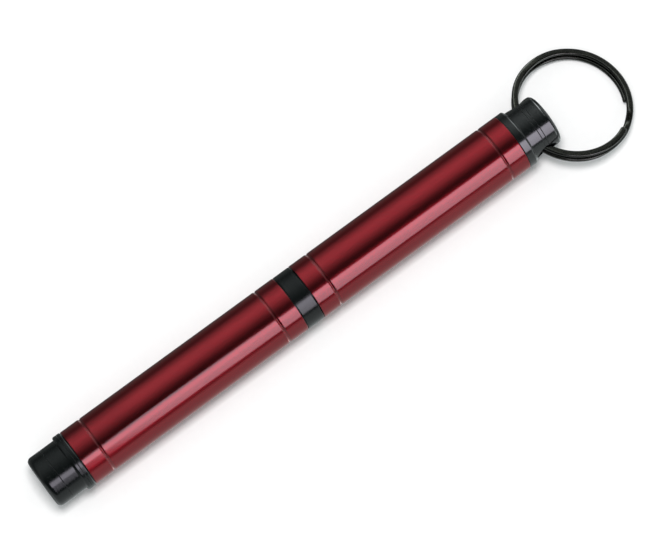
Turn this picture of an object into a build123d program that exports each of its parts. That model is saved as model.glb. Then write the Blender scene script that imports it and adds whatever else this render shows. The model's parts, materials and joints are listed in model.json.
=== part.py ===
"""Keyring ballpoint pen: a short capped pen in two equal metal tubes, with a split ring through its cap.

Frame: millimetres. The origin is the centre of the tail end face. +X runs along the pen to the key-ring end,
and +Z is up when the pen lies on a table. Every turned piece is a profile of (x, radius) corners about X.
"""
import os
from math import cos, radians, sin

from build123d import *

# ---- driving dimensions -------------------------------------------------------------------------
PEN_LENGTH = 95.25
TUBE_OUTER_R = 9.525 / 2
TUBE_WALL = 0.508
STEM_CLEARANCE = 0.02

# Stations along the pen, from the tail end.
TAIL_FLANGE_START = 5.12
TAIL_FLANGE_END = 6.56
BARREL_START = 6.62
BARREL_END = 46.43
BAND_START = 46.58
BAND_END = 49.42
CAP_START = 49.60
CAP_END = 88.76
RING_FLANGE_START = 88.80
RING_FLANGE_END = 90.22

# Rolled grooves, each of which locks a tube to the insert inside it.
ROLL_WIDTH = 0.50
ROLL_DEPTH = 0.19
ROLL_RADIUS = 0.13
TUBE_EDGE = 0.07
TAIL_ROLL = 10.10
COLLAR_ROLL = 43.02
MOUTH_ROLL = 52.82
RING_ROLL = 85.56

# Visible black ends.
SPIGOT_R = 8.75 / 2
TAIL_FLANGE_R = 9.65 / 2
BAND_R = 9.46 / 2
RING_FLANGE_R = 9.50 / 2
EYE_BODY_R = 8.55 / 2
LINE_WIDTH = 0.12
LINE_DEPTH = 0.05
TAIL_LINE = 2.58
TAIL_FLANGE_LINE = 5.86
EYE_LINES = (92.30, 92.91)

# Cross hole for the split ring.
EYE_X = 92.40
EYE_R = 1.84
EYE_CHAMFER = 0.12

# Split ring: one flat wire wound twice.
RING_OUTER_R = 19.05 / 2
WIRE_WIDTH = 1.22
WIRE_THICKNESS = 0.66
WIRE_CORNER = 0.26
TURN_GAP = 0.05
RING_DROOP = 14.0
RING_LEAN = 6.5
RING_REACH = 7.94
RING_SIDE = -0.34
RING_RISE = 0.22
TURN_ARC = 330.0
JOGGLE_ARC = 28.0
WIRE_END_ANGLE = -31.0
JOGGLE_STEPS = 4

# Right-handed screw joint between the barrel and the grip section.
THREAD_PITCH = 0.75
THREAD_TURNS = 5
THREAD_START = 44.30
THREAD_CLEARANCE = 0.04
STEM_CORE_R = 3.40
STEM_CREST_R = 3.70
RIDGE_FOOT = 0.54
RIDGE_CREST = 0.18
RIDGE_ROOTED = 0.02
STEM_START = 43.90
COLLAR_STEP = 43.70
SHOULDER_R = 3.87
SHOULDER_X = BAND_END + 0.02

# Grip section.
LAND_END = 54.20
GRIP_R = 3.62
GRIP_GROOVE_START = 57.30
GRIP_GROOVE_PITCH = 1.60
GRIP_GROOVES = 10
GRIP_GROOVE_WIDTH = 0.45
GRIP_GROOVE_DEPTH = 0.16
TAPER_START = 74.50
NOSE_X = 85.40
NOSE_R = 1.50

# Friction O-ring on the grip section, and the bore of the cap that it grips.
O_RING_X = 51.50
O_RING_CORD_R = 0.30
CAP_BORE_R = 3.90
O_RING_SQUEEZE_GAP = 0.015

# Refill.
REFILL_R = 2.97
REFILL_BORE_R = 2.60
REFILL_START = 2.05
REFILL_TUBE_START = 3.20
REFILL_TUBE_END = 66.30
REFILL_SHOULDER_END = 68.05
NECK_R = 1.85
NECK_END = 79.20
TIP_START = 80.10
TIP_R = 1.15
TIP_MOUTH_X = 87.62
BALL_R = 0.50
BALL_X = 87.45
BALL_CLEARANCE = 0.015
FLOAT_START = 27.50
FLOAT_END = 30.00
INK_END = 62.28

# Values worked out from the ones above.
TUBE_INNER_R = TUBE_OUTER_R - TUBE_WALL
STEM_R = TUBE_INNER_R - STEM_CLEARANCE
REFILL_ROOM_R = REFILL_R + 0.06
RING_MEAN_R = RING_OUTER_R - WIRE_WIDTH / 2
LEVEL = (WIRE_THICKNESS + TURN_GAP) / 2


# ---- helpers ------------------------------------------------------------------------------------
def turned(corners):
    """A solid of revolution about X from (x, radius, rounding) corners of its closed profile."""
    points = [(x, r) for x, r, _ in corners]
    rounding = [round_r for _, _, round_r in corners]
    return revolve(make_face(FilletPolyline(*points, radius=rounding, close=True)), Axis.X)


def dip(x, radius, width, depth, rounding):
    """Three corners of a shallow V groove in a wall of this radius, in order of rising x."""
    return [
        (x - width / 2, radius, rounding),
        (x, radius - depth, rounding),
        (x + width / 2, radius, rounding),
    ]


def roll(x, radius):
    """The rolled groove that locks a tube to its insert."""
    return dip(x, radius, ROLL_WIDTH, ROLL_DEPTH, ROLL_RADIUS)


def fine_line(x, radius):
    """A fine turned line."""
    return dip(x, radius, LINE_WIDTH, LINE_DEPTH, 0)


def rolled_tube(start, end, rolls):
    """A thin tube whose wall dips inwards at each rolled groove."""
    outside = [(start, TUBE_OUTER_R, TUBE_EDGE)]
    inside = [(end, TUBE_INNER_R, 0)]
    for x in rolls:
        outside += roll(x, TUBE_OUTER_R)
    for x in reversed(rolls):
        inside += reversed(roll(x, TUBE_INNER_R))
    outside.append((end, TUBE_OUTER_R, TUBE_EDGE))
    inside.append((start, TUBE_INNER_R, 0))
    return turned(outside + inside)


def thread_ridge(foot_r, crest_r, start):
    """One helical ridge along X, standing out from foot_r to crest_r, either outwards or inwards."""
    mid_r = (foot_r + crest_r) / 2
    rise = crest_r - mid_r
    helix = Helix(THREAD_PITCH, THREAD_PITCH * THREAD_TURNS, mid_r)
    foot, crest = RIDGE_FOOT / 2, RIDGE_CREST / 2
    outline = Polyline((-rise, -foot), (rise, -crest), (rise, crest), (-rise, foot), close=True)
    section = Plane(origin=helix @ 0, x_dir=(1, 0, 0), z_dir=helix % 0) * make_face(outline)
    return Pos(start, 0, 0) * Rot(0, 90, 0) * sweep(section, path=helix, is_frenet=True)


# ---- barrel -------------------------------------------------------------------------------------
def barrel_sleeve():
    return rolled_tube(BARREL_START, BARREL_END, [TAIL_ROLL, COLLAR_ROLL])


def tail_plug():
    stem_end = 17.0
    return turned(
        [(0, 0, 0), (0, SPIGOT_R, 0.80)]
        + fine_line(TAIL_LINE, SPIGOT_R)
        + [(TAIL_FLANGE_START, SPIGOT_R, 0.10), (TAIL_FLANGE_START, TAIL_FLANGE_R, 0.30)]
        + fine_line(TAIL_FLANGE_LINE, TAIL_FLANGE_R)
        + [(TAIL_FLANGE_END, TAIL_FLANGE_R, 0.25), (TAIL_FLANGE_END, STEM_R, 0)]
        + roll(TAIL_ROLL, STEM_R)
        + [(stem_end, STEM_R, 0.40), (stem_end, REFILL_ROOM_R, 0.40)]
        + [(REFILL_START - 0.10, REFILL_ROOM_R, 0.30), (REFILL_START - 0.10, 0, 0)]
    )


def barrel_collar():
    """Threaded insert in the barrel's mouth. Its flange is the dark band at mid length."""
    stem_start = 37.0
    rear_bore = STEM_CORE_R + THREAD_CLEARANCE + 0.02
    bore = STEM_CREST_R + THREAD_CLEARANCE
    body = turned(
        [(stem_start, rear_bore, 0.20), (stem_start, STEM_R, 0.30)]
        + roll(COLLAR_ROLL, STEM_R)
        + [(BAND_START, STEM_R, 0), (BAND_START, BAND_R, 0.07), (BAND_END, BAND_R, 0.07)]
        + [(BAND_END, bore + 0.03, 0), (BAND_END - 0.03, bore, 0)]
        + [(COLLAR_STEP, bore, 0), (COLLAR_STEP, rear_bore, 0)]
    )
    ridge = thread_ridge(bore + RIDGE_ROOTED, STEM_CORE_R + THREAD_CLEARANCE, THREAD_START + THREAD_PITCH / 2)
    return body + ridge


# ---- grip section -------------------------------------------------------------------------------
def grip_section():
    groove_half = O_RING_CORD_R + 0.05
    groove_floor = CAP_BORE_R - O_RING_SQUEEZE_GAP - 2 * O_RING_CORD_R - 0.005
    outside = [(STEM_START, STEM_CORE_R, 0.15), (SHOULDER_X, STEM_CORE_R, 0.05)]
    outside += [(SHOULDER_X, SHOULDER_R, 0.05)]
    outside += [(O_RING_X - groove_half, SHOULDER_R, 0.05), (O_RING_X - groove_half, groove_floor, 0.05)]
    outside += [(O_RING_X + groove_half, groove_floor, 0.05), (O_RING_X + groove_half, SHOULDER_R, 0.05)]
    outside += [(LAND_END, SHOULDER_R, 0.25), (LAND_END + 0.30, GRIP_R, 0.20)]
    for i in range(GRIP_GROOVES):
        x = GRIP_GROOVE_START + i * GRIP_GROOVE_PITCH
        outside += dip(x, GRIP_R, GRIP_GROOVE_WIDTH, GRIP_GROOVE_DEPTH, 0.12)
    outside += [(TAPER_START, GRIP_R, 6.0), (NOSE_X - 0.60, NOSE_R + 0.30, 0.60), (NOSE_X, NOSE_R, 0.15)]
    inside = [(NOSE_X, TIP_R + 0.07, 0), (TIP_START, TIP_R + 0.07, 0), (TIP_START, NECK_R + 0.07, 0)]
    inside += [(REFILL_SHOULDER_END + 0.10, NECK_R + 0.07, 0), (REFILL_SHOULDER_END + 0.10, REFILL_ROOM_R, 0)]
    inside += [(STEM_START, REFILL_ROOM_R, 0.10)]
    return turned(outside + inside) + thread_ridge(STEM_CORE_R - RIDGE_ROOTED, STEM_CREST_R, THREAD_START)


def section_o_ring():
    centre_r = CAP_BORE_R - O_RING_SQUEEZE_GAP - O_RING_CORD_R
    return revolve(Pos(O_RING_X, centre_r) * Circle(O_RING_CORD_R), Axis.X)


# ---- refill -------------------------------------------------------------------------------------
def refill_tube():
    return turned(
        [(REFILL_TUBE_START, REFILL_BORE_R, 0), (REFILL_TUBE_START, REFILL_R, 0.08)]
        + dip(8.0, REFILL_R, 0.50, 0.08, 0.20)
        + [(REFILL_TUBE_END, REFILL_R, 0.05), (REFILL_TUBE_END, REFILL_BORE_R, 0)]
    )


def refill_end_plug():
    stem_r = REFILL_BORE_R - STEM_CLEARANCE
    return turned(
        [(REFILL_START + 0.50, 0, 0), (REFILL_START, 0.80, 0.20), (REFILL_START, REFILL_R, 0.40)]
        + [(REFILL_TUBE_START - 0.02, REFILL_R, 0.10), (REFILL_TUBE_START - 0.02, stem_r, 0)]
        + [(6.50, stem_r, 0.30), (6.50, 0, 0)]
    )


def refill_nose():
    channel_r = 0.90
    stem_r = REFILL_BORE_R - STEM_CLEARANCE
    seat_x = 77.40
    seat_r = 0.82
    return turned(
        [(62.30, channel_r, 0), (62.30, stem_r, 0.20), (REFILL_TUBE_END + 0.02, stem_r, 0)]
        + [(REFILL_TUBE_END + 0.02, REFILL_R, 0.05), (REFILL_SHOULDER_END, REFILL_R, 0.30)]
        + [(REFILL_SHOULDER_END, NECK_R, 0.20), (NECK_END, NECK_R, 0.40), (TIP_START - 0.02, TIP_R + 0.10, 0.10)]
        + [(TIP_START - 0.02, seat_r, 0), (seat_x, seat_r, 0), (seat_x, channel_r - 0.30, 0)]
        + [(seat_x - 0.60, channel_r - 0.30, 0), (seat_x - 0.60, channel_r, 0)]
    )


def writing_tip():
    channel_r = 0.28
    stem_start = 77.50
    cone = turned(
        [(stem_start, channel_r, 0), (stem_start, 0.80, 0.10), (TIP_START, 0.80, 0), (TIP_START, TIP_R, 0.08)]
        + [(TIP_MOUTH_X - 1.45, TIP_R, 0.30), (TIP_MOUTH_X, BALL_R + 0.04, 0), (TIP_MOUTH_X, channel_r, 0)]
    )
    return cone - Pos(BALL_X, 0, 0) * Sphere(BALL_R + BALL_CLEARANCE)


def writing_ball():
    return Pos(BALL_X, 0, 0) * Sphere(BALL_R)


def ink_float():
    r = REFILL_BORE_R - STEM_CLEARANCE
    return turned([(FLOAT_START, 0, 0), (FLOAT_START, r, 0.30), (FLOAT_END, r, 0.30), (FLOAT_END, 0, 0)])


def ink_column():
    r = REFILL_BORE_R - STEM_CLEARANCE
    start = FLOAT_END + 0.02
    return turned([(start, 0, 0), (start, r, 0), (INK_END, r, 0), (INK_END, 0, 0)])


# ---- cap ----------------------------------------------------------------------------------------
def cap_sleeve():
    return rolled_tube(CAP_START, CAP_END, [MOUTH_ROLL, RING_ROLL])


def cap_mouth_insert():
    start, end = CAP_START + 0.12, 57.10
    return turned(
        [(start, CAP_BORE_R, 0.12), (start, STEM_R, 0)]
        + roll(MOUTH_ROLL, STEM_R)
        + [(end, STEM_R, 0.12), (end, CAP_BORE_R, 0.12)]
    )


def ring_plug():
    """Closed end of the cap: a stem in the tube, a flange, and a body with the cross hole for the ring."""
    stem_start = 80.60
    well_r = 3.00
    well_end = RING_FLANGE_START + 0.30
    body = turned(
        [(stem_start, well_r, 0.40), (stem_start, STEM_R, 0.30)]
        + roll(RING_ROLL, STEM_R)
        + [(RING_FLANGE_START, STEM_R, 0), (RING_FLANGE_START, RING_FLANGE_R, 0.10)]
        + [(RING_FLANGE_END, RING_FLANGE_R, 0.30), (RING_FLANGE_END, EYE_BODY_R, 0.10)]
        + [corner for x in EYE_LINES for corner in fine_line(x, EYE_BODY_R)]
        + [(PEN_LENGTH, EYE_BODY_R, 0.67), (PEN_LENGTH, 0, 0), (well_end, 0, 0), (well_end, well_r, 0.40)]
    )
    hole = Pos(EYE_X, 0, 0) * Rot(90, 0, 0) * Cylinder(EYE_R, 4 * EYE_BODY_R)
    mouth_r = EYE_R + 2 * EYE_CHAMFER
    for turn in (90, -90):
        cone = Cone(mouth_r, EYE_R, 2 * EYE_CHAMFER)
        hole += Pos(EYE_X, 0, 0) * Rot(turn, 0, 0) * Pos(0, 0, -EYE_BODY_R + EYE_CHAMFER / 2) * cone
    return body - hole


# ---- split ring ---------------------------------------------------------------------------------
def ring_plane():
    """The ring's own plane: x away from the eye, z along the ring's normal, origin at its centre."""
    tilt, lean = radians(RING_DROOP), radians(RING_LEAN)
    away = Vector(cos(tilt), -sin(tilt) * sin(lean), -sin(tilt) * cos(lean))
    normal = Vector(sin(tilt), cos(tilt) * sin(lean), cos(tilt) * cos(lean))
    centre = Vector(EYE_X, 0, 0) + away * RING_REACH + normal.cross(away) * RING_SIDE + normal * RING_RISE
    return Plane(origin=centre, x_dir=away, z_dir=normal)


def wire_section(angle, level):
    """The wire's rounded section, at this angle round the ring and this height above its mid plane."""
    c, s = cos(radians(angle)), sin(radians(angle))
    plane = Plane(origin=(RING_MEAN_R * c, RING_MEAN_R * s, level), x_dir=(c, s, 0), z_dir=(-s, c, 0))
    return plane * RectangleRounded(WIRE_WIDTH, WIRE_THICKNESS, WIRE_CORNER)


def split_ring():
    """Lower turn, joggle up through the ring's thickness, then upper turn."""
    joggle_start = WIRE_END_ANGLE + TURN_ARC
    joggle_end = joggle_start + JOGGLE_ARC
    lower = revolve(wire_section(WIRE_END_ANGLE, -LEVEL), Axis.Z, revolution_arc=TURN_ARC)
    upper = revolve(wire_section(joggle_end, LEVEL), Axis.Z, revolution_arc=TURN_ARC)
    sections = []
    for i in range(JOGGLE_STEPS + 1):
        share = i / JOGGLE_STEPS
        sections.append(wire_section(joggle_start + share * JOGGLE_ARC, -LEVEL * cos(radians(180 * share))))
    return ring_plane().location * (lower + loft(sections) + upper)


# ---- output -------------------------------------------------------------------------------------
NODES = {
    "barrel_sleeve": barrel_sleeve,
    "tail_plug": tail_plug,
    "barrel_collar": barrel_collar,
    "grip_section": grip_section,
    "section_o_ring": section_o_ring,
    "refill_tube": refill_tube,
    "refill_end_plug": refill_end_plug,
    "refill_nose": refill_nose,
    "writing_tip": writing_tip,
    "writing_ball": writing_ball,
    "ink_float": ink_float,
    "ink_column": ink_column,
    "cap_sleeve": cap_sleeve,
    "cap_mouth_insert": cap_mouth_insert,
    "ring_plug": ring_plug,
    "split_ring": split_ring,
}

os.makedirs("parts", exist_ok=True)
for name, make in NODES.items():
    export_step(make(), f"parts/{name}.step")
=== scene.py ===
"""Keyring ballpoint pen: materials, fine detail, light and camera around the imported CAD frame. Metres."""
import json
from math import asin, atan2, cos, pi, radians, sin, sqrt

import bpy
from mathutils import Matrix, Vector


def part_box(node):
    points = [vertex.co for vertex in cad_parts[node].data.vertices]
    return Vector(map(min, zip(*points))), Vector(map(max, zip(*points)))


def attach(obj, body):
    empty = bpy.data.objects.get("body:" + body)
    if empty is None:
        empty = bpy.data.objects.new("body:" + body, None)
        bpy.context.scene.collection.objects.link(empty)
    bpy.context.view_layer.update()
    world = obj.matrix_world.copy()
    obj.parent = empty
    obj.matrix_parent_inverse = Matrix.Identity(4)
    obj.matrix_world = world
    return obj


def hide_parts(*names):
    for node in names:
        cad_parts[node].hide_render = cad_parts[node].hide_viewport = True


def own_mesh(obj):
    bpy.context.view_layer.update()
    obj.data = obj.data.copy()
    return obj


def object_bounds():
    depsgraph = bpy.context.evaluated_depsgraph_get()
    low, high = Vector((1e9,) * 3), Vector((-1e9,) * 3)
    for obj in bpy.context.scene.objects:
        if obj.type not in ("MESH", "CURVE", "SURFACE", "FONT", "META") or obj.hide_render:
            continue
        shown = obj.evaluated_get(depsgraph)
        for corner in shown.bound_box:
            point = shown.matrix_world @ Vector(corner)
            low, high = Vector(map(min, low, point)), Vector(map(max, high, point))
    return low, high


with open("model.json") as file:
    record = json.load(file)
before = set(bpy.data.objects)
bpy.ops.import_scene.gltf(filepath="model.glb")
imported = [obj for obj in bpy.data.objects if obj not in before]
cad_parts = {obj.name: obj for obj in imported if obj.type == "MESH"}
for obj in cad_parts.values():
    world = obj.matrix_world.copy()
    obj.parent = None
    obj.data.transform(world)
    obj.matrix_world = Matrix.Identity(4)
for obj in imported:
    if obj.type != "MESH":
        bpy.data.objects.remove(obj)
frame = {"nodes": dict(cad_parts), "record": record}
nodes = frame["nodes"]
cad_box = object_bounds()
MM = 0.001


# ---- stations read from the frame ---------------------------------------------------------------
FLOOR_Z = cad_box[0][2]
TAIL_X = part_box("tail_plug")[0].x
EYE_END_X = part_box("ring_plug")[1].x
MIDDLE_X = (TAIL_X + EYE_END_X) / 2


# ---- node helpers -------------------------------------------------------------------------------
RANGE_SOCKETS = ("From Min", "From Max", "To Min", "To Max")


class Nodes:
    """A short way to write one material's node tree."""

    def __init__(self, name):
        self.material = bpy.data.materials.new(name)
        self.material.use_nodes = True
        self.tree = self.material.node_tree
        self.shader = self.tree.nodes["Principled BSDF"]
        coords = self.tree.nodes.new("ShaderNodeTexCoord")
        self.place = coords.outputs["Object"]

    def link(self, source, target):
        self.tree.links.new(source, target)

    def stretched(self, scale):
        """Object coordinates in metres, multiplied by these three scales."""
        node = self.tree.nodes.new("ShaderNodeMapping")
        node.inputs["Scale"].default_value = scale
        self.link(self.place, node.inputs["Vector"])
        return node.outputs["Vector"]

    def noise(self, scale, detail=4.0, roughness=0.55, distortion=0.0):
        node = self.tree.nodes.new("ShaderNodeTexNoise")
        node.inputs["Scale"].default_value = 1.0
        node.inputs["Detail"].default_value = detail
        node.inputs["Roughness"].default_value = roughness
        node.inputs["Distortion"].default_value = distortion
        self.link(self.stretched(scale), node.inputs["Vector"])
        return node.outputs["Fac"]

    def spread(self, value, low, high, out_low, out_high):
        node = self.tree.nodes.new("ShaderNodeMapRange")
        for socket, number in zip(RANGE_SOCKETS, (low, high, out_low, out_high)):
            node.inputs[socket].default_value = number
        self.link(value, node.inputs["Value"])
        return node.outputs["Result"]

    def math(self, kind, a, b):
        node = self.tree.nodes.new("ShaderNodeMath")
        node.operation = kind
        for socket, value in zip(node.inputs, (a, b)):
            if isinstance(value, (int, float)):
                socket.default_value = value
            else:
                self.link(value, socket)
        return node.outputs["Value"]

    def mix(self, share, a, b):
        node = self.tree.nodes.new("ShaderNodeMix")
        node.data_type = "RGBA"
        if isinstance(share, (int, float)):
            node.inputs[0].default_value = share
        else:
            self.link(share, node.inputs[0])
        for socket, value in ((node.inputs[6], a), (node.inputs[7], b)):
            if isinstance(value, tuple):
                socket.default_value = value + (1.0,)
            else:
                self.link(value, socket)
        return node.outputs[2]

    def edge_mask(self, reach):
        """0 on open faces, rising towards 1 along edges within this reach."""
        bevel = self.tree.nodes.new("ShaderNodeBevel")
        bevel.samples = 6
        bevel.inputs["Radius"].default_value = reach
        geometry = self.tree.nodes.new("ShaderNodeNewGeometry")
        dot = self.tree.nodes.new("ShaderNodeVectorMath")
        dot.operation = "DOT_PRODUCT"
        self.link(bevel.outputs["Normal"], dot.inputs[0])
        self.link(geometry.outputs["Normal"], dot.inputs[1])
        return self.spread(dot.outputs["Value"], 0.995, 0.90, 0.0, 1.0)

    def bump(self, height, strength, distance):
        node = self.tree.nodes.new("ShaderNodeBump")
        node.inputs["Strength"].default_value = strength
        node.inputs["Distance"].default_value = distance
        self.link(height, node.inputs["Height"])
        self.link(node.outputs["Normal"], self.shader.inputs["Normal"])

    def set(self, **values):
        for name, value in values.items():
            self.shader.inputs[name.replace("_", " ")].default_value = value


# ---- materials ----------------------------------------------------------------------------------
def red_anodised():
    """Dyed anodised tube, polished on a lathe: satin metal, clear dye over it and faint turned lines."""
    m = Nodes("red_anodised")
    turned = m.noise((5200, 60, 60), detail=3)
    cloud = m.noise((90, 160, 160), detail=2)
    colour = m.mix(m.spread(cloud, 0.3, 0.7, 0, 1), (0.237, 0.0086, 0.0150), (0.269, 0.0112, 0.0180))
    m.link(colour, m.shader.inputs["Base Color"])
    m.link(m.spread(turned, 0.3, 0.7, 0.335, 0.365), m.shader.inputs["Roughness"])
    m.set(Metallic=1.0, Anisotropic=0.9, Anisotropic_Rotation=0.25)
    m.set(Coat_Weight=1.0, Coat_Roughness=0.07, Coat_IOR=1.5, Specular_Tint=(0.9, 0.35, 0.38, 1))
    around = m.tree.nodes.new("ShaderNodeTangent")
    around.direction_type = "RADIAL"
    around.axis = "X"
    m.link(around.outputs["Tangent"], m.shader.inputs["Tangent"])
    m.bump(turned, 0.006, 0.00002)
    return m.material


def moulded_black(name, colour, rough_low, rough_high, ior):
    """Glossy black ends: fine orange-peel, faint turned lines and slightly dulled edges."""
    m = Nodes(name)
    peel = m.noise((1500, 1500, 1500), detail=3)
    turned = m.noise((9000, 40, 40), detail=2)
    dust = m.noise((4200, 4200, 4200), detail=5, roughness=0.7)
    grey = tuple(4 * c + 0.01 for c in colour)
    speck = m.spread(dust, 0.66, 0.76, 0, 0.5)
    m.link(m.mix(speck, colour, grey), m.shader.inputs["Base Color"])
    gloss = m.spread(turned, 0.3, 0.7, rough_low, rough_high)
    dulled = m.math("MULTIPLY", m.edge_mask(0.00010), 0.4)
    m.link(m.math("ADD", gloss, dulled), m.shader.inputs["Roughness"])
    m.set(Metallic=0.0, IOR=ior)
    height = m.math("ADD", m.math("MULTIPLY", peel, 0.6), m.math("MULTIPLY", turned, 0.4))
    m.bump(height, 0.10, 0.00002)
    return m.material


def black_grip():
    m = Nodes("black_grip")
    turned = m.noise((12000, 60, 60), detail=3)
    m.link(m.mix(turned, (0.018, 0.018, 0.02), (0.032, 0.032, 0.036)), m.shader.inputs["Base Color"])
    m.link(m.spread(turned, 0.3, 0.7, 0.30, 0.42), m.shader.inputs["Roughness"])
    m.set(Metallic=0.6, Coat_Weight=0.3, Coat_Roughness=0.25)
    m.bump(turned, 0.15, 0.00002)
    return m.material


def seal_rubber():
    m = Nodes("seal_rubber")
    grain = m.noise((5000, 5000, 5000), detail=4)
    m.link(m.mix(grain, (0.010, 0.010, 0.010), (0.024, 0.024, 0.024)), m.shader.inputs["Base Color"])
    m.link(m.spread(grain, 0.3, 0.7, 0.50, 0.68), m.shader.inputs["Roughness"])
    m.bump(grain, 0.2, 0.00002)
    return m.material


def turned_metal(name, dark, light, rough_low, rough_high):
    m = Nodes(name)
    turned = m.noise((14000, 80, 80), detail=3)
    stain = m.noise((300, 300, 300), detail=4)
    m.link(m.mix(m.spread(stain, 0.35, 0.7, 0, 1), light, dark), m.shader.inputs["Base Color"])
    m.link(m.spread(turned, 0.3, 0.7, rough_low, rough_high), m.shader.inputs["Roughness"])
    m.set(Metallic=1.0)
    m.bump(turned, 0.12, 0.00001)
    return m.material


def refill_plastic(name, dark, light):
    m = Nodes(name)
    grain = m.noise((2500, 2500, 2500), detail=3)
    m.link(m.mix(grain, dark, light), m.shader.inputs["Base Color"])
    m.link(m.spread(grain, 0.3, 0.7, 0.28, 0.42), m.shader.inputs["Roughness"])
    m.bump(grain, 0.1, 0.00002)
    return m.material


def thick_ink():
    m = Nodes("ink")
    swirl = m.noise((400, 400, 400), detail=4, distortion=1.0)
    m.link(m.mix(swirl, (0.004, 0.004, 0.010), (0.010, 0.010, 0.022)), m.shader.inputs["Base Color"])
    m.link(m.spread(swirl, 0.3, 0.7, 0.08, 0.20), m.shader.inputs["Roughness"])
    m.bump(swirl, 0.1, 0.00005)
    return m.material


def blackened_steel():
    """Split ring: black oxide under oil, tumbled, and lighter along its edges: partly rubbed wear, partly a
    painted highlight.
    """
    m = Nodes("ring_steel")
    patina = m.noise((700, 700, 700), detail=5, roughness=0.65)
    grain = m.noise((5200, 5200, 5200), detail=3)
    body = m.mix(m.spread(patina, 0.35, 0.7, 0, 1), (0.016, 0.017, 0.013), (0.034, 0.034, 0.026))
    # Edges lightened in the base colour: partly rubbed-off oxide, partly a painted highlight standing in
    # for glints along the wire's edges.
    worn_and_highlight = m.math("MULTIPLY", m.edge_mask(0.00008), m.spread(patina, 0.35, 0.65, 0.1, 0.8))
    m.link(m.mix(worn_and_highlight, body, (0.27, 0.265, 0.24)), m.shader.inputs["Base Color"])
    m.link(m.spread(grain, 0.3, 0.7, 0.20, 0.30), m.shader.inputs["Roughness"])
    m.set(Metallic=1.0, Coat_Weight=0.8, Coat_Roughness=0.10, Coat_IOR=1.5)
    m.bump(grain, 0.12, 0.00001)
    return m.material


def pale_floor():
    m = Nodes("floor")
    paper = m.noise((900, 900, 900), detail=3)
    m.link(m.mix(paper, (0.923, 0.90, 0.90), (0.953, 0.93, 0.93)), m.shader.inputs["Base Color"])
    m.set(Roughness=0.9, Specular_IOR_Level=0.1)
    return m.material


MATERIALS = {
    "red_anodised": red_anodised(),
    "black_plug": moulded_black("black_plug", (0.0022, 0.0032, 0.0032), 0.12, 0.20, 1.52),
    "black_eye": moulded_black("black_eye", (0.0022, 0.0032, 0.0032), 0.10, 0.18, 1.72),
    "black_liner": moulded_black("black_liner", (0.014, 0.014, 0.016), 0.32, 0.45, 1.5),
    "black_grip": black_grip(),
    "seal_rubber": seal_rubber(),
    "refill_steel": turned_metal("refill_steel", (0.45, 0.45, 0.46), (0.62, 0.62, 0.63), 0.18, 0.30),
    "refill_plastic": refill_plastic("refill_plastic", (0.012, 0.012, 0.016), (0.022, 0.022, 0.030)),
    "refill_brass": turned_metal("refill_brass", (0.52, 0.36, 0.15), (0.74, 0.56, 0.28), 0.20, 0.32),
    "tip_steel": turned_metal("tip_steel", (0.46, 0.46, 0.47), (0.66, 0.66, 0.67), 0.14, 0.24),
    "ball_carbide": turned_metal("ball_carbide", (0.40, 0.40, 0.42), (0.52, 0.52, 0.54), 0.06, 0.12),
    "float_plastic": refill_plastic("float_plastic", (0.66, 0.66, 0.62), (0.78, 0.78, 0.74)),
    "ink": thick_ink(),
    "ring_steel": blackened_steel(),
}


def dress(obj, slot):
    """Every material slot of this object takes the material that stands for this record slot."""
    obj.data.materials.clear()
    obj.data.materials.append(MATERIALS[slot])


for part in frame["record"]["subparts"]:
    dress(nodes[part["node"]], part["material_slot"])
dress(nodes["ring_plug"], "black_eye")


# ---- ink column, copied and carried with the refill ---------------------------------------------
def ink():
    piece = nodes["ink_column"].copy()
    piece.data = piece.data.copy()
    piece.name = "ink_fill"
    bpy.context.scene.collection.objects.link(piece)
    piece.parent = None
    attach(piece, "refill")
    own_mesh(piece)
    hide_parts("ink_column")


ink()


# ---- split ring ---------------------------------------------------------------------------------
WIRE_WIDTH = 1.04 * MM
WIRE_THICKNESS = 0.66 * MM
WIRE_CORNER = 0.26 * MM
RING_MEAN_R = 9.525 * MM - WIRE_WIDTH / 2
TURN_LEVEL = 0.355 * MM
INNER_REACH = 8.3 * MM

# Angles run along the wire in degrees, from the lower turn's end to the upper turn's end.
WIRE_START = -29.0
JOGGLE_START = 299.0
JOGGLE_END = 327.0
WIRE_STOP = 658.5
STATION_STEP = 1.5
# How small the section is at these distances from each end, where the cut ends are rounded off.
ROUNDED_ENDS = ((0.0, 0.55), (0.5, 0.84), (1.2, 0.96))
ENDS_LENGTH = 2.0
# Places where the wire stands off its circle: the middle, the reach to each side and the distance.
SET_UPWARDS = ((86, 32, -0.24 * MM), (446, 32, 0.22 * MM))
SET_OUTWARDS = ((274, 28, -0.10 * MM), (485, 45, 0.22 * MM), (588, 70, -0.20 * MM))
# The lower turn starts inwards of the circle and has come out to it by the second pair of angles.
LOWER_INSET, LOWER_INSET_MORE = 0.40 * MM, 0.10 * MM
LOWER_INSET_GROWS = (WIRE_START, 25)
LOWER_INSET_FADES = (48, 150)
# The upper turn runs a little inwards, and its end more so.
UPPER_INSET, UPPER_END_INSET = 0.09 * MM, 0.15 * MM
UPPER_END_GROWS = (560, 640)


def ease(value, low, high):
    """A smooth step from 0 to 1 as value goes from low to high."""
    share = min(1.0, max(0.0, (value - low) / (high - low)))
    return 0.5 - 0.5 * cos(pi * share)


def hump(value, centre, reach):
    """1 at the centre, falling smoothly to 0 at this reach on each side."""
    return ease(value, centre - reach, centre) * (1 - ease(value, centre, centre + reach))


def humps(value, places):
    return sum(distance * hump(value, centre, reach) for centre, reach, distance in places)


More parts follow.
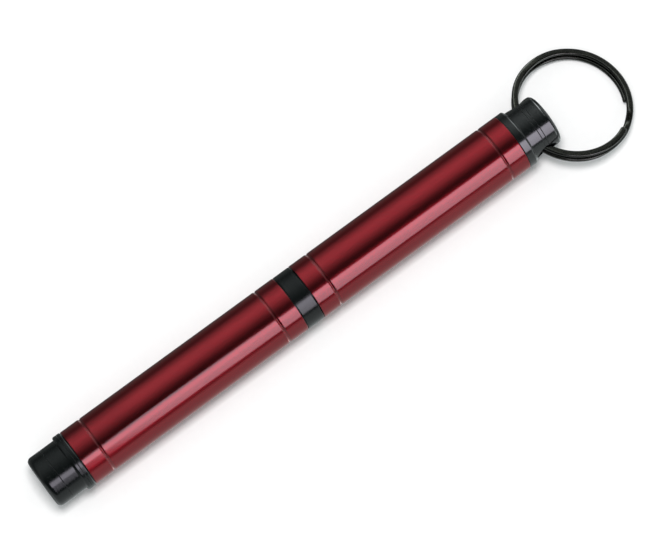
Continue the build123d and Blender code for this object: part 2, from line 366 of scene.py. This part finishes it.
def ring_frame():
    """The ring's plane from its mount: x away from the eye, z along its normal, origin at its centre."""
    mount = next(m for m in frame["record"]["mounts"] if m["name"] == "key_loop")
    away = Vector(mount["axis"]).normalized()
    lean = atan2(-away.y, -away.z)
    droop = asin(sqrt(away.y ** 2 + away.z ** 2))
    normal = Vector((sin(droop), cos(droop) * sin(lean), cos(droop) * cos(lean)))
    across = normal.cross(away)
    centre = Vector(mount["pos_m"]) - INNER_REACH * away
    return Matrix.Translation(centre) @ Matrix((away, across, normal)).transposed().to_4x4()


def wire_outline():
    """The wire's rounded section as (outwards, upwards) points."""
    points = []
    steps = 5
    for quarter, (sx, sy) in enumerate(((1, 1), (-1, 1), (-1, -1), (1, -1))):
        centre_x = sx * (WIRE_WIDTH / 2 - WIRE_CORNER)
        centre_y = sy * (WIRE_THICKNESS / 2 - WIRE_CORNER)
        for i in range(steps + 1):
            angle = radians(90 * (quarter + i / steps))
            points.append((centre_x + WIRE_CORNER * cos(angle), centre_y + WIRE_CORNER * sin(angle)))
    return points


def wire_offsets(angle):
    """How far the wire lies outwards and upwards of its circle. The lower turn comes first."""
    crossed = ease(angle, JOGGLE_START, JOGGLE_END)
    level = humps(angle, SET_UPWARDS) - TURN_LEVEL * cos(pi * crossed)
    inset = LOWER_INSET + LOWER_INSET_MORE * ease(angle, *LOWER_INSET_GROWS)
    outwards = humps(angle, SET_OUTWARDS) - inset * (1 - ease(angle, *LOWER_INSET_FADES))
    outwards -= UPPER_INSET * crossed + UPPER_END_INSET * ease(angle, *UPPER_END_GROWS)
    return outwards, level


def wire_stations():
    """Angles along the wire, each with the size of the section there."""
    count = int((WIRE_STOP - WIRE_START - 2 * ENDS_LENGTH) / STATION_STEP)
    stations = [(WIRE_START + step, scale) for step, scale in ROUNDED_ENDS]
    stations += [(WIRE_START + ENDS_LENGTH + i * STATION_STEP, 1.0) for i in range(count + 1)]
    stations += [(WIRE_STOP - step, scale) for step, scale in reversed(ROUNDED_ENDS)]
    return stations


def key_ring():
    """Split ring as one wire: its ends lie a little inwards and its turns stand apart on the far side."""
    outline = wire_outline()
    stations = wire_stations()
    verts = []
    for angle, scale in stations:
        outwards, level = wire_offsets(angle)
        c, s = cos(radians(angle)), sin(radians(angle))
        for x, y in outline:
            r = RING_MEAN_R + outwards + scale * x
            verts.append((r * c, r * s, level + scale * y))
    n = len(outline)
    faces = [tuple(range(n))[::-1], tuple(range(len(verts) - n, len(verts)))]
    for i in range(len(stations) - 1):
        for k in range(n):
            a, b = i * n + k, i * n + (k + 1) % n
            faces.append((a, b, b + n, a + n))
    mesh = bpy.data.meshes.new("key_ring_wire")
    mesh.from_pydata(verts, [], faces)
    mesh.transform(ring_frame())
    mesh.validate()
    mesh.shade_smooth()
    piece = bpy.data.objects.new("key_ring_wire", mesh)
    bpy.context.scene.collection.objects.link(piece)
    dress(piece, "ring_steel")
    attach(piece, "key_ring")
    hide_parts("split_ring")


key_ring()


# ---- stage --------------------------------------------------------------------------------------
FLOOR_REACH = 3.0
AMBIENT = 0.62
KEY_RADIANCE = 30.0
KEY_SIZE = 0.13
KEY_DISTANCE = 0.50
KEY_LEAN = radians(2.5)
ROOM_COLOUR = (0.93, 1.0, 1.0, 1)
ROOM_LEVEL = 0.05
STRIP_LEVEL = 4.7
STRIP_COLOUR = (0.83, 0.785, 0.895, 1)

# Below, turn is a direction's angle about the pen's length, in degrees: 0 is up and 90 is the far side.
# along is its share towards the cap: 0 is square to the pen and 1 is straight along it.
# The strip's edges are each the sum of two smooth steps: along from, along to, angle from, angle to.
STRIP_TOP = ((0.038, 0.050, 24, 18), (0.05, 0.11, 0, 9.5))
STRIP_LOW = ((0.037, 0.052, 44, 67), (0.06, 0.11, 0, 6))
STRIP_SOFTNESS = (-1.5, 2.5)
STRIP_FADE = (38, 70, 1.0, 0.80)
STRIP_MIDDLE = 0.10
STRIP_HALF_LENGTH = (0.26, 0.34)
GLOW_TURN, GLOW_REACH = 49, 60
LOW_GLOW_TURN, LOW_GLOW_REACH = -74, 44
NEAR_TABLE_TURN = (-76, -90)
FAR_TABLE_TURN = (98, 114)
# Levels square to the pen, and in the band to its cap side that starts and stops here.
SIDE_BAND_START, SIDE_BAND_STOP = (0.23, 0.31), (0.40, 0.49)
GLOW_LEVELS = (0.34, 6.3)
LOW_GLOW_LEVELS = (0.0, 1.9)
NEAR_TABLE_LEVELS = (0.48, 1.25)
FAR_TABLE_LEVELS = (0.08, 0.7)
END_WINDOW = (0.72, 0.88)
END_GLOW = 0.6


def floor():
    mesh = bpy.data.meshes.new("floor")
    corners = [(x * FLOOR_REACH, y * FLOOR_REACH) for x, y in ((-1, -1), (1, -1), (1, 1), (-1, 1))]
    mesh.from_pydata([(x, y, FLOOR_Z) for x, y in corners], [], [(0, 1, 2, 3)])
    mesh.materials.append(pale_floor())
    obj = bpy.data.objects.new("floor", mesh)
    bpy.context.scene.collection.objects.link(obj)
    obj.visible_glossy = False


class WorldNodes:
    """A short way to write the world's node tree."""

    def __init__(self, tree):
        self.tree = tree

    def math(self, kind, a, b=0.0, clamp=False):
        node = self.tree.nodes.new("ShaderNodeMath")
        node.operation = kind
        node.use_clamp = clamp
        for socket, value in zip(node.inputs, (a, b)):
            if isinstance(value, (int, float)):
                socket.default_value = value
            else:
                self.tree.links.new(value, socket)
        return node.outputs["Value"]

    def step(self, value, low, high, out_low, out_high):
        """A smooth step from out_low to out_high as value goes from low to high."""
        node = self.tree.nodes.new("ShaderNodeMapRange")
        node.interpolation_type = "SMOOTHSTEP"
        for socket, number in zip(RANGE_SOCKETS, (low, high, out_low, out_high)):
            node.inputs[socket].default_value = number
        self.tree.links.new(value, node.inputs["Value"])
        return node.outputs["Result"]

    def blend(self, share, a, b):
        """a where share is 0, b where it is 1."""
        node = self.tree.nodes.new("ShaderNodeMix")
        self.tree.links.new(share, node.inputs["Factor"])
        for socket, value in (("A", a), ("B", b)):
            if isinstance(value, (int, float)):
                node.inputs[socket].default_value = value
            else:
                self.tree.links.new(value, node.inputs[socket])
        return node.outputs["Result"]


def strip_edge(w, along, steps):
    first, second = (w.step(along, low, high, radians(a), radians(b)) for low, high, a, b in steps)
    return w.math("ADD", first, second)


def strip_level(w, turn, along):
    """A long soft box on the near side, whose edges draw in towards the pen's tail. 0 outside it."""
    near = w.math("MULTIPLY", turn, -1.0)
    soft_low, soft_high = (radians(angle) for angle in STRIP_SOFTNESS)
    past_top = w.math("SUBTRACT", near, strip_edge(w, along, STRIP_TOP))
    before_low = w.math("SUBTRACT", strip_edge(w, along, STRIP_LOW), near)
    inside_top = w.step(past_top, soft_low, soft_high, 0.0, 1.0)
    inside_low = w.step(before_low, soft_low, soft_high, 0.0, 1.0)
    fade_from, fade_to, full, faded = STRIP_FADE
    fade = w.step(near, radians(fade_from), radians(fade_to), full, faded)
    off_middle = w.math("ABSOLUTE", w.math("SUBTRACT", along, STRIP_MIDDLE))
    ends = w.step(off_middle, *STRIP_HALF_LENGTH, 1.0, 0.0)
    level = w.math("MULTIPLY", inside_top, inside_low)
    return w.math("MULTIPLY", w.math("MULTIPLY", level, fade), w.math("MULTIPLY", ends, STRIP_LEVEL))


def glow_at(w, turn, centre, reach):
    """1 at this turn, falling smoothly to 0 at this reach on each side."""
    off_centre = w.math("ABSOLUTE", w.math("SUBTRACT", turn, radians(centre)))
    return w.step(off_centre, 0.0, radians(reach), 1.0, 0.0)


def room_level(w, turn, along):
    """Dark room with a soft glow on each side, a pale table below and a window beyond the ring."""
    glow = glow_at(w, turn, GLOW_TURN, GLOW_REACH)
    low_glow = glow_at(w, turn, LOW_GLOW_TURN, LOW_GLOW_REACH)
    near_table = w.step(turn, *map(radians, NEAR_TABLE_TURN), 0.0, 1.0)
    far_table = w.step(turn, *map(radians, FAR_TABLE_TURN), 0.0, 1.0)
    started = w.step(along, *SIDE_BAND_START, 0.0, 1.0)
    not_stopped = w.step(along, *SIDE_BAND_STOP, 1.0, 0.0)
    aside = w.math("MULTIPLY", started, not_stopped)
    level = w.step(along, *END_WINDOW, ROOM_LEVEL, END_GLOW)
    for place, (middle, side) in (
        (glow, GLOW_LEVELS),
        (low_glow, LOW_GLOW_LEVELS),
        (near_table, NEAR_TABLE_LEVELS),
        (far_table, FAR_TABLE_LEVELS),
    ):
        strength = w.math("ADD", w.math("MULTIPLY", aside, side - middle), middle)
        level = w.math("ADD", w.math("MULTIPLY", place, strength), level)
    return level


def studio_world():
    """Even light for matt surfaces, and for gloss the strip and the room."""
    world = bpy.data.worlds.new("studio")
    world.use_nodes = True
    w = WorldNodes(world.node_tree)
    coords = w.tree.nodes.new("ShaderNodeTexCoord")
    axes = w.tree.nodes.new("ShaderNodeSeparateXYZ")
    w.tree.links.new(coords.outputs["Generated"], axes.inputs[0])
    path = w.tree.nodes.new("ShaderNodeLightPath")
    turn = w.math("ARCTAN2", axes.outputs["Y"], axes.outputs["Z"])
    along = axes.outputs["X"]
    room = w.tree.nodes["Background"]
    strip = w.tree.nodes.new("ShaderNodeBackground")
    both = w.tree.nodes.new("ShaderNodeAddShader")
    for background, colour, gloss, diffuse, camera_sees in (
        (room, ROOM_COLOUR, room_level(w, turn, along), AMBIENT, 1.0),
        (strip, STRIP_COLOUR, strip_level(w, turn, along), 0.0, 0.0),
    ):
        background.inputs["Color"].default_value = colour
        level = w.blend(path.outputs["Is Diffuse Ray"], gloss, diffuse)
        level = w.blend(path.outputs["Is Camera Ray"], level, camera_sees)
        w.tree.links.new(level, background.inputs["Strength"])
    w.tree.links.new(room.outputs[0], both.inputs[0])
    w.tree.links.new(strip.outputs[0], both.inputs[1])
    w.tree.links.new(both.outputs[0], w.tree.nodes["World Output"].inputs["Surface"])
    bpy.context.scene.world = world
    world.cycles.sampling_method = "NONE"


def key_light():
    """Overhead soft box that lights the table and draws the contact shadow."""
    data = bpy.data.lights.new("key", "AREA")
    data.shape = "SQUARE"
    data.size = KEY_SIZE
    data.energy = KEY_RADIANCE * pi * KEY_SIZE ** 2
    key = bpy.data.objects.new("key", data)
    bpy.context.scene.collection.objects.link(key)
    key.location = (MIDDLE_X, KEY_DISTANCE * sin(KEY_LEAN), KEY_DISTANCE * cos(KEY_LEAN))
    key.rotation_euler = (-KEY_LEAN, 0, 0)
    key.visible_glossy = False


def camera():
    azimuth, elevation, distance = radians(-36.5), radians(79.5), 0.640
    field_width = 0.1007
    aim = Vector((0.05403, 0.0, 0.0))
    data = bpy.data.cameras.new("camera")
    data.sensor_width = 36.0
    data.lens = data.sensor_width * distance / field_width
    data.clip_start = 0.01
    data.dof.use_dof = False
    obj = bpy.data.objects.new("camera", data)
    bpy.context.scene.collection.objects.link(obj)
    back = Vector((sin(azimuth) * cos(elevation), -cos(azimuth) * cos(elevation), sin(elevation)))
    obj.location = aim + distance * back
    obj.rotation_euler = back.to_track_quat("Z", "Y").to_euler()
    bpy.context.scene.camera = obj


floor()
key_light()
studio_world()
camera()
bpy.context.scene.view_settings.view_transform = "Standard"
